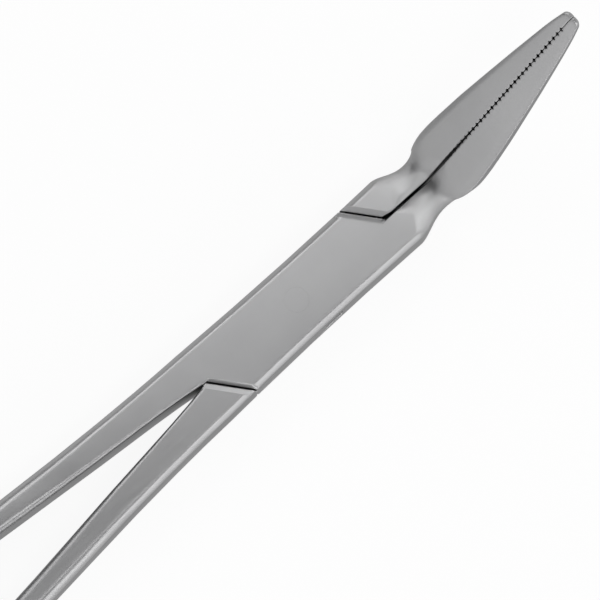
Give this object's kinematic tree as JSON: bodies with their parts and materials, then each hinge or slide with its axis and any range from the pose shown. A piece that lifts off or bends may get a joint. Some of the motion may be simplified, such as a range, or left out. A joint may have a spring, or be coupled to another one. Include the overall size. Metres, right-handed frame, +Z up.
{
  "type": "splinter forceps",
  "caption": "Ring-handled forceps with a box lock and short serrated jaws angled up to fine tips, for gripping and drawing out splinters.",
  "frame": {"origin": "on the pivot's axis, in the plane of the underside that the forceps lies on", "axes": "+X runs from the pivot to the tips, the finger rings lie along -X; +Z is up, the way the jaws are bent; +Y is the side of the box half's finger ring"},
  "size_m": [0.1388, 0.0588, 0.0228],
  "materials": {
    "satin_steel": "satin",
    "pin_steel": "satin"
  },
  "bodies": {
    "box_arm": {"box_half": "satin_steel", "pivot_pin": "pin_steel"},
    "tongue_arm": {"tongue_half": "satin_steel"}
  },
  "joints": [
    {"name": "jaw_pivot", "type": "hinge", "parent": "box_arm", "child": "tongue_arm", "pos_m": [0, 0, 0], "axis": [0, 0, 1], "range_deg": [0, 36]}
  ]
}
